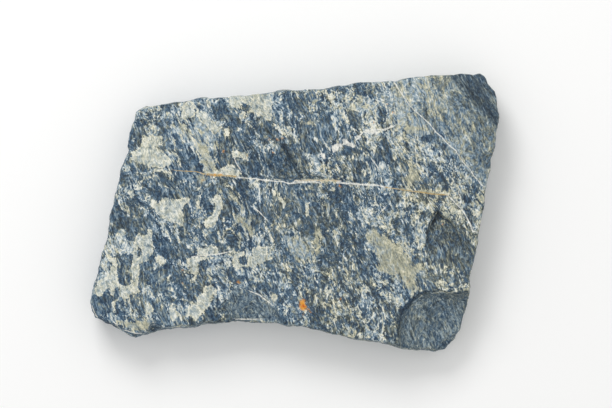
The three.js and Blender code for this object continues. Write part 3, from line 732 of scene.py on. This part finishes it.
def add_marks(mesh):
    """Writes the marks of the split face into the mesh, for the material and the relief to read."""
    points = vertex_rows(mesh, "co")[:, :2] / MM + MARKS_MIDDLE
    facing_up = np.clip((vertex_rows(mesh, "normal")[:, 2] - FACE_START) / FACE_FADE, 0, 1)
    face = facing_up * facing_up * (3 - 2 * facing_up)
    depths = {
        "cream": mark_depth(points, CREAM_PATCHES, CREAM_GAPS, CREAM_LINES, CREAM_SPOTS),
        "tan": mark_depth(points, TAN_PATCHES, lines=TAN_LINES),
        "pale": mark_depth(points, PALE_PATCHES, lines=PALE_LINES, spots=PALE_SPOTS),
        "white": mark_depth(points, WHITE_PATCHES),
        "rust": mark_depth(points, RUST_PATCHES, lines=RUST_LINES, spots=RUST_SPOTS),
        # The dark marks hold painted shade in the notches and along the near-left edge too.
        "dark": mark_depth(points, DARK_AND_SHADE_PATCHES, lines=DARK_AND_SHADE_LINES, spots=DARK_SPOTS, streaks=DARK_STREAKS),
        "fresh": mark_depth(points, FRESH_PATCHES),
        "soft": mark_depth(points, SOFT_PATCHES),
        # The deep marks are mostly painted shade.
        "deep": mark_depth(points, DEEP_SHADE_PATCHES, lines=DEEP_SHADE_AND_DARK_LINES),
    }
    values = {name: (depth + MARK_REACH) * face - MARK_REACH for name, depth in depths.items()}
    offset, half_width, ochre = vein_marks(points)
    values["vein_offset"] = offset
    values["vein_width"] = np.where(face > 0.5, half_width, -1)
    values["vein_ochre"] = ochre
    values["shade"] = broad_shade(points) * face
    values["face"] = face
    for name, value in values.items():
        layer = mesh.attributes.new(name, "FLOAT", "POINT")
        layer.data.foreach_set("value", value.astype(np.float32))


def fine_mesh(stone):
    """An even fine mesh over the frame's slab."""
    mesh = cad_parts[NODE].data.copy()
    work = bmesh.new()
    work.from_mesh(mesh)
    bmesh.ops.remove_doubles(work, verts=work.verts, dist=MM / 100)
    work.to_mesh(mesh)
    work.free()
    mesh.materials.clear()
    piece = new_object("slab_stone", mesh)
    remesh = piece.modifiers.new("Even mesh", "REMESH")
    remesh.mode = "VOXEL"
    remesh.voxel_size = stone.mesh_step
    keep_result(piece)
    return piece


def keep_result(piece):
    """Makes the result of a piece's modifiers its mesh, and takes the modifiers off."""
    graph = bpy.context.evaluated_depsgraph_get()
    mesh = bpy.data.meshes.new_from_object(piece.evaluated_get(graph))
    piece.modifiers.clear()
    piece.data = mesh


def carve_notch_tip(mesh):
    """Draws the notch out to its sharp tip, down to the notch's own floor."""
    places = vertex_rows(mesh, "co")
    points = places[:, :2] / MM + MARKS_MIDDLE
    share = np.clip(depth_in_outline(points, NOTCH_TIP) / NOTCH_WALL, 0, 1)
    places[:, 2] -= share * np.maximum(places[:, 2] - NOTCH_FLOOR * MM, 0)
    move_vertices(mesh, places)


def relief_sockets(tree):
    """Gives the relief tree its named inputs and its output."""
    numbers = dict.fromkeys((*RELIEF_SIZES, "Seed"), "Float")
    for name, kind in {"Geometry": "Geometry", **numbers, "Material": "Material"}.items():
        tree.interface.new_socket(name, in_out="INPUT", socket_type=f"NodeSocket{kind}")
    tree.interface.new_socket("Geometry", in_out="OUTPUT", socket_type="NodeSocketGeometry")


def relief_height(tree, given, vector, kind, spacing, detail):
    """Noise that rises and falls by the height that the tree is given for one kind of relief."""
    scale = calculate(tree, "DIVIDE", MM, given[f"{kind} {spacing}"])
    centred = calculate(tree, "SUBTRACT", noise(tree, vector, scale, detail, 0.6, given["Seed"])[0], 0.5)
    return times(tree, centred, times(tree, given[f"{kind} Height"], 1 / NOISE_SPREAD))


def relief_tree():
    """Ribs with the grain, grit all over, ledges on the sides and thickness on the crusts."""
    tree = bpy.data.node_groups.new("slab_relief", "GeometryNodeTree")
    relief_sockets(tree)
    given = tree.nodes.new("NodeGroupInput").outputs
    normal = tree.nodes.new("GeometryNodeInputNormal").outputs[0]
    millimetres = scaled(tree, tree.nodes.new("GeometryNodeInputPosition").outputs[0], 1 / MM)
    upward = vectors(tree, "DOT_PRODUCT", normal, (0, 0, 1))
    to_far_side = vectors(tree, "DOT_PRODUCT", normal, (0, 1, 0))
    on_face = step(tree, upward, 0.3, 0.8)
    on_side = times(
        tree, step(tree, calculate(tree, "ABSOLUTE", upward), 0.75, 0.35),
        step(tree, to_far_side, 0.3, 0.7, 1.0, FAR_SIDE_SHARE))

    ribs = relief_height(tree, given, grain_space(tree, millimetres, 2.6, 1), "Rib", "Spacing", 3)
    grit = relief_height(tree, given, millimetres, "Grit", "Size", 2)
    drawn_out = vectors(tree, "MULTIPLY", millimetres, (0.16, 0.16, 1))
    beds = relief_height(tree, given, drawn_out, "Bed", "Spacing", 3)
    upright = vectors(tree, "MULTIPLY", millimetres, (1, 1, 0.5))
    breaks = relief_height(tree, given, upright, "Break", "Spacing", 2)
    cream = add_node(tree, "GeometryNodeInputNamedAttribute", {"Name": "cream"}, data_type="FLOAT").outputs[0]
    crust = times(tree, step(tree, cream, -0.4, 0.6), given["Crust Height"])
    sides = times(tree, calculate(tree, "ADD", beds, breaks), on_side)
    upper = calculate(tree, "ADD", times(tree, ribs, on_face), grit)
    total = calculate(tree, "ADD", upper, calculate(tree, "ADD", sides, crust))

    offset = scaled(tree, normal, total)
    moved = add_node(tree, "GeometryNodeSetPosition", {0: given["Geometry"], "Offset": offset})
    realized = add_node(tree, "GeometryNodeRealizeInstances", {0: moved.outputs[0]})
    inputs = {0: realized.outputs[0], "Material": given["Material"]}
    finished = add_node(tree, "GeometryNodeSetMaterial", inputs)
    add_node(tree, "NodeGroupOutput", {0: finished.outputs[0]})
    return tree


def add_relief(piece, stone, material):
    """Gives the piece its real fine relief, and keeps it off the floor."""
    modifier = piece.modifiers.new("Relief", "NODES")
    modifier.node_group = relief_tree()
    given = {name: getattr(stone, name.lower().replace(" ", "_")) for name in RELIEF_SIZES}
    given.update({"Seed": RELIEF_SEED, "Material": material})
    for item in modifier.node_group.interface.items_tree:
        if item.in_out == "INPUT" and item.name in given:
            modifier[item.identifier] = given[item.name]
    keep_result(piece)
    mesh = piece.data
    mesh.polygons.foreach_set("use_smooth", np.ones(len(mesh.polygons), bool))
    places = vertex_rows(mesh, "co")
    places[:, 2] = np.maximum(places[:, 2], 0)
    move_vertices(mesh, places)


def grain_patterns(tree):
    """The noises that the stone is made of, as named parts. Most are drawn out along the grain."""
    place = scaled(tree, add_node(tree, "ShaderNodeTexCoord").outputs["Object"], 1 / MM)
    flow = warped(tree, grain_space(tree, place, 1.9, 2.5), 24, 3, seed=1)
    flow = warped(tree, flow, 6, 0.9, seed=2)
    fine = vectors(tree, "MULTIPLY", flow, (1, 1.2, 1))
    lines = vectors(tree, "MULTIPLY", flow, (1, 0.3, 1))
    cells = add_node(tree, "ShaderNodeTexVoronoi", {"Vector": fine, "Scale": 1 / 0.62})
    cell_value = add_node(tree, "ShaderNodeSeparateColor", {0: cells.outputs["Color"]}).outputs[0]
    flecks = swing(tree, fine, 0.9, roughness=0.9, seed=6)
    ragged = swing(tree, place, 2.4, height=0.9, detail=4, roughness=0.7, seed=11)
    winding = threads(tree, flow, 6, 0.26, seed=21)
    straight = threads(tree, lines, 4, 0.28, seed=23)
    return dict(
        place=place, flow=flow, fine=fine, flecks=flecks,
        broad=swing(tree, flow, 24, seed=3),
        blots=swing(tree, flow, 6.5, detail=4, roughness=0.62, seed=4),
        patches=swing(tree, flow, 2.8, detail=2, roughness=0.7, seed=5),
        grit=calculate(tree, "MULTIPLY_ADD", cell_value, 2, -1),
        needles=step(tree, swing(tree, lines, 0.9, seed=6.7), 0.3, 0.6),
        veinlets=calculate(tree, "MAXIMUM", winding, straight),
        hairs=threads(tree, lines, 2.4, 0.34, seed=35),
        slits=threads(tree, lines, 3.0, 0.36, seed=37),
        rag=calculate(tree, "MULTIPLY_ADD", flecks, 0.5, ragged),
        mottle=swing(tree, warped(tree, place, 8, 1.5, seed=14), 4, detail=4, roughness=0.7, seed=15),
        wide_rag=swing(tree, place, 6, detail=2, seed=9),
        to_right=vectors(tree, "DOT_PRODUCT", place, (0.01, 0, 0)),
    )


def add_area_marks(tree, parts):
    """Adds the marked areas to the parts, from 0 outside to 1 inside, with ragged edges."""
    # The dark marks carry painted shade beside their dark slate, and the deep marks are mostly painted shade.
    edges = (("pale", 1.2, -1.5, 2), ("dark", 0.8, -1, 1), ("soft", 2.0, -3, 3), ("deep", 0.5, -0.9, 1.1))
    for name, raggedness, low, high in edges:
        depth = weighted(tree, parts, attribute(tree, name), patches=raggedness)
        parts[name] = step(tree, depth, low, high)
    parts["shade"] = attribute(tree, "shade")
    fresh = step(tree, weighted(tree, parts, attribute(tree, "fresh"), wide_rag=1.4, flecks=0.8), -1.6, 2.0)
    side = calculate(tree, "MULTIPLY_ADD", attribute(tree, "face"), -1, 1)
    parts["fresh"] = times(tree, calculate(tree, "MAXIMUM", fresh, times(tree, side, 0.45)), 0.82)


def streaked_tone(tree, parts):
    """Brightness of the dark hollows and the pale lace between them. Adds the rim where they meet."""
    # The dark marks, painted shade among them, pull the phase down towards the dark hollows.
    phase = weighted(
        tree, parts, 0.0, broad=0.20, blots=0.60, patches=0.36, flecks=0.26, to_right=0.10, pale=0.55,
        shade=1.15, dark=-0.70)
    rim = step(tree, calculate(tree, "ABSOLUTE", calculate(tree, "SUBTRACT", phase, 0.16)), 0.13, 0.0)
    parts["rim"] = times(tree, rim, step(tree, swing(tree, parts["flow"], 5, seed=7), -0.3, 0.3))
    hollow = weighted(
        tree, parts, 0.31, broad=0.05, patches=0.07, flecks=0.11, grit=0.12, hairs=0.24, needles=0.05,
        slits=-0.12, dark=-0.035)
    lace = weighted(
        tree, parts, 0.60, patches=0.13, flecks=0.19, grit=0.20, hairs=0.16, needles=0.04, slits=-0.26,
        pale=0.04)
    tone = blend(tree, step(tree, phase, -0.08, 0.20), hollow, lace)
    return weighted(tree, parts, tone, rim=0.08, veinlets=0.20)


def calmed_tone(tree, parts, tone):
    """A brightness evened out in the soft areas, plain in the fresh breaks and darkened in the deep marks,
    which are mostly painted shade.
    """
    even = weighted(
        tree, parts, 0.545, broad=0.05, blots=0.11, patches=0.07, flecks=0.12, grit=0.10, hairs=0.16,
        slits=-0.20, dark=-0.10, pale=0.05, shade=0.14)
    plain = weighted(
        tree, parts, 0.385, patches=0.05, flecks=0.10, grit=0.09, hairs=0.24, slits=-0.14, needles=0.06,
        dark=-0.15, pale=0.14, shade=0.10)
    tone = blend(tree, times(tree, parts["soft"], 0.68), tone, even)
    tone = blend(tree, parts["fresh"], tone, plain)
    # Painted shade: darkens the deep marks.
    return weighted(tree, parts, tone, deep=-0.15)


def stone_warmth(tree, parts):
    """How far the stone turns from blue-grey to buff, round zero."""
    clouds = swing(tree, parts["flow"], 14, height=0.42, detail=2, roughness=0.7, seed=10)
    parts["specks"] = swing(tree, parts["fine"], 1.7, roughness=0.7, seed=10.5)
    warmth = weighted(tree, parts, clouds, specks=0.68, to_right=0.13, rim=0.15, veinlets=0.20)
    return blend(tree, parts["fresh"], warmth, calculate(tree, "MULTIPLY_ADD", warmth, 0.38, 0.02))


def crust_tone(tree, parts):
    """Brightness of the cream crusts. Adds where they lie, worn thin in places, and their edges."""
    depth = weighted(tree, parts, attribute(tree, "cream"), rag=1, patches=0.5)
    worn = step(tree, weighted(tree, parts, depth, mottle=2.4), -1.4, 0.2)
    cover = calculate(tree, "MULTIPLY_ADD", worn, 0.65, 0.35)
    parts["crust"] = times(tree, step(tree, depth, -0.35, 0.35), cover)
    edge = step(tree, weighted(tree, parts, depth, mottle=1), 1.4, 0.2)
    parts["crust_edge"] = times(tree, parts["crust"], edge)
    return weighted(
        tree, parts, 0.765, mottle=0.22, patches=0.09, flecks=0.16, grit=0.11, slits=-0.12, crust_edge=0.06)


def tan_tone(tree, parts):
    """Brightness of the tan stains. Adds where they lie."""
    depth = weighted(tree, parts, attribute(tree, "tan"), rag=1.4, patches=2.1, slits=-1.5, hairs=0.8)
    parts["tan"] = times(tree, step(tree, depth, -1, 1.4), 0.85)
    return weighted(tree, parts, 0.63, patches=0.16, flecks=0.19, grit=0.09, hairs=0.10, slits=-0.16)


def with_veins(tree, parts, stone, colour):
    """A colour with the white and ochre veins laid over it."""
    drift = swing(tree, parts["place"], 3, height=0.14, detail=2, seed=12)
    offset = calculate(tree, "ABSOLUTE", calculate(tree, "ADD", attribute(tree, "vein_offset"), drift))
    parts["swelling"] = swing(tree, parts["place"], 2.5, detail=3, roughness=0.6, seed=13)
    half_width = weighted(tree, parts, attribute(tree, "vein_width"), swelling=0.28)
    thin = step(tree, calculate(tree, "SUBTRACT", half_width, offset), -0.16, 0.14)
    wide = step(tree, weighted(tree, parts, attribute(tree, "white"), rag=0.9), -0.6, 0.1)
    share = times(tree, calculate(tree, "MAXIMUM", thin, wide), weighted(tree, parts, 0.75, flecks=0.4))
    stain = weighted(tree, parts, attribute(tree, "vein_ochre"), patches=0.35, flecks=0.2)
    vein_colour = blend_colours(tree, step(tree, stain, 0.2, 1.0), stone.white, stone.ochre)
    return blend_colours(tree, share, colour, vein_colour)


def with_rust(tree, parts, stone, colour):
    """A colour with the rust patch and spots laid over it."""
    depth = weighted(tree, parts, attribute(tree, "rust"), rag=1.1)
    share = times(tree, step(tree, depth, -0.3, 1.3), weighted(tree, parts, 0.9, grit=0.1))
    middle = step(tree, weighted(tree, parts, depth, flecks=0.8), 1.45, 2.1)
    return blend_colours(tree, share, colour, blend_colours(tree, middle, stone.rust, stone.deep_rust))


def stone_colour(tree, parts, stone):
    """The colour of the streaked stone with its crusts, stains, veins and rust."""
    tone = calmed_tone(tree, parts, streaked_tone(tree, parts))
    warmth = stone_warmth(tree, parts)
    cream, buff = crust_tone(tree, parts), tan_tone(tree, parts)
    tone = blend(tree, parts["tan"], blend(tree, parts["crust"], tone, cream), buff)
    warmth = weighted(tree, parts, warmth, crust=0.16, crust_edge=0.28, mottle=0.12, tan=0.6)
    crust_warmth = weighted(tree, parts, 0.42, crust_edge=0.25, mottle=0.22)
    warm_share = blend(tree, times(tree, parts["crust"], 0.5), step(tree, warmth, -0.45, 0.8), crust_warmth)
    colour = blend_colours(tree, warm_share, ramp(tree, tone, COOL_TONES), ramp(tree, tone, WARM_TONES))
    colour = blend_colours(tree, times(tree, parts["tan"], 0.3), colour, stone.tan)
    return with_rust(tree, parts, stone, with_veins(tree, parts, stone, colour))


def stone_material(stone):
    """Streaked blue-grey marble with cream crusts, tan stains, white veins and rust."""
    material = bpy.data.materials.new("streaked_marble")
    material.use_nodes = True
    tree = material.node_tree
    tree.nodes.clear()
    parts = grain_patterns(tree)
    add_area_marks(tree, parts)
    colour = stone_colour(tree, parts, stone)
    roughness = weighted(tree, parts, 0.72, grit=0.05, crust=0.12)
    relief = weighted(tree, parts, 0.0, patches=0.12, flecks=0.10, hairs=0.10, slits=-0.16, crust=0.12)
    bump = add_node(tree, "ShaderNodeBump", {"Strength": 0.8, "Distance": MM, "Height": relief}).outputs[0]
    inputs = {"Base Color": colour, "Roughness": roughness, "Normal": bump, "Specular IOR Level": 0.35}
    shader = add_node(tree, "ShaderNodeBsdfPrincipled", inputs)
    add_node(tree, "ShaderNodeOutputMaterial", {"Surface": shader.outputs[0]})
    return material


class MARBLESLAB_OT_stone(bpy.types.Operator):
    """Make the slab of stone on its frame"""

    bl_idname = "marble_slab.make_stone"
    bl_label = "Make the Stone"

    def execute(self, context):
        stone = context.scene.marble_slab_stone
        piece = fine_mesh(stone)
        carve_notch_tip(piece.data)
        add_marks(piece.data)
        add_relief(piece, stone, stone_material(stone))
        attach(piece, "root")
        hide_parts(NODE)
        return {"FINISHED"}


def aim(item, target, way, distance):
    """Sets an item off from the target by a direction and a distance, and turns it to face the target."""
    item.location = target + way * distance
    item.rotation_mode = "QUATERNION"
    item.rotation_quaternion = (-way).to_track_quat("-Z", "Y")


def place_camera(stage, target):
    """A camera on the near side, looking almost straight down on the face."""
    camera = new_object("camera", bpy.data.cameras.new("camera"))
    way = Vector((0, -math.cos(stage.camera_height), math.sin(stage.camera_height)))
    aim(camera, target, way, stage.camera_distance)
    camera.data.lens = camera.data.sensor_width * stage.camera_distance / stage.view_width
    bpy.context.scene.camera = camera


def place_floor(stage):
    """A plain matt floor."""
    half = FLOOR_HALF_WIDTH * MM
    mesh = bpy.data.meshes.new("floor")
    corners = [(-half, -half, 0), (half, -half, 0), (half, half, 0), (-half, half, 0)]
    mesh.from_pydata(corners, [], [(0, 1, 2, 3)])
    material = bpy.data.materials.new("pale_floor")
    material.use_nodes = True
    shader = material.node_tree.nodes["Principled BSDF"]
    shader.inputs["Base Color"].default_value = (*stage.floor_colour, 1)
    shader.inputs["Roughness"].default_value = FLOOR_ROUGHNESS
    mesh.materials.append(material)
    new_object("floor", mesh)


def place_lights(stage, target):
    """Even light from all round, and one large soft lamp from the far side."""
    world = bpy.data.worlds.new("even_light")
    world.use_nodes = True
    background = world.node_tree.nodes["Background"]
    background.inputs["Color"].default_value = (1, 1, 1, 1)
    background.inputs["Strength"].default_value = stage.sky_strength
    bpy.context.scene.world = world
    lamp = bpy.data.lights.new("key", "AREA")
    lamp.energy = stage.key_power
    lamp.size = stage.key_size
    turn, flat = stage.key_turn, math.cos(stage.key_height)
    way = Vector((-math.sin(turn) * flat, math.cos(turn) * flat, math.sin(stage.key_height)))
    aim(new_object("key", lamp), target, way, stage.key_distance)


class MARBLESLAB_OT_stage(bpy.types.Operator):
    """Set the floor, the light and the camera"""

    bl_idname = "marble_slab.set_stage"
    bl_label = "Set the Stage"

    def execute(self, context):
        stage = context.scene.marble_slab_stage
        target = Vector((VIEW_MIDDLE[0] * MM, VIEW_MIDDLE[1] * MM, cad_box[1].z))
        place_floor(stage)
        place_lights(stage, target)
        place_camera(stage, target)
        context.scene.view_settings.view_transform = "Standard"
        return {"FINISHED"}


class MARBLESLAB_PT_panel(bpy.types.Panel):
    """The slab's operators, sizes and colours"""

    bl_label = "Marble Slab"
    bl_idname = "MARBLESLAB_PT_panel"
    bl_space_type = "VIEW_3D"
    bl_region_type = "UI"
    bl_category = "Marble Slab"

    def draw(self, context):
        for operator in OPERATORS:
            self.layout.operator(operator.bl_idname)
        for settings in (context.scene.marble_slab_stone, context.scene.marble_slab_stage):
            box = self.layout.box()
            for name in settings.__annotations__:
                box.prop(settings, name)


OPERATORS = (MARBLESLAB_OT_stone, MARBLESLAB_OT_stage)
CLASSES = (MARBLESLAB_PG_stone, MARBLESLAB_PG_stage, *OPERATORS, MARBLESLAB_PT_panel)


def register():
    for item in CLASSES:
        bpy.utils.register_class(item)
    bpy.types.Scene.marble_slab_stone = bpy.props.PointerProperty(type=MARBLESLAB_PG_stone)
    bpy.types.Scene.marble_slab_stage = bpy.props.PointerProperty(type=MARBLESLAB_PG_stage)


def unregister():
    del bpy.types.Scene.marble_slab_stage
    del bpy.types.Scene.marble_slab_stone
    for item in reversed(CLASSES):
        bpy.utils.unregister_class(item)


def main():
    register()
    bpy.ops.marble_slab.make_stone()
    bpy.ops.marble_slab.set_stage()


if __name__ == "__main__":
    main()
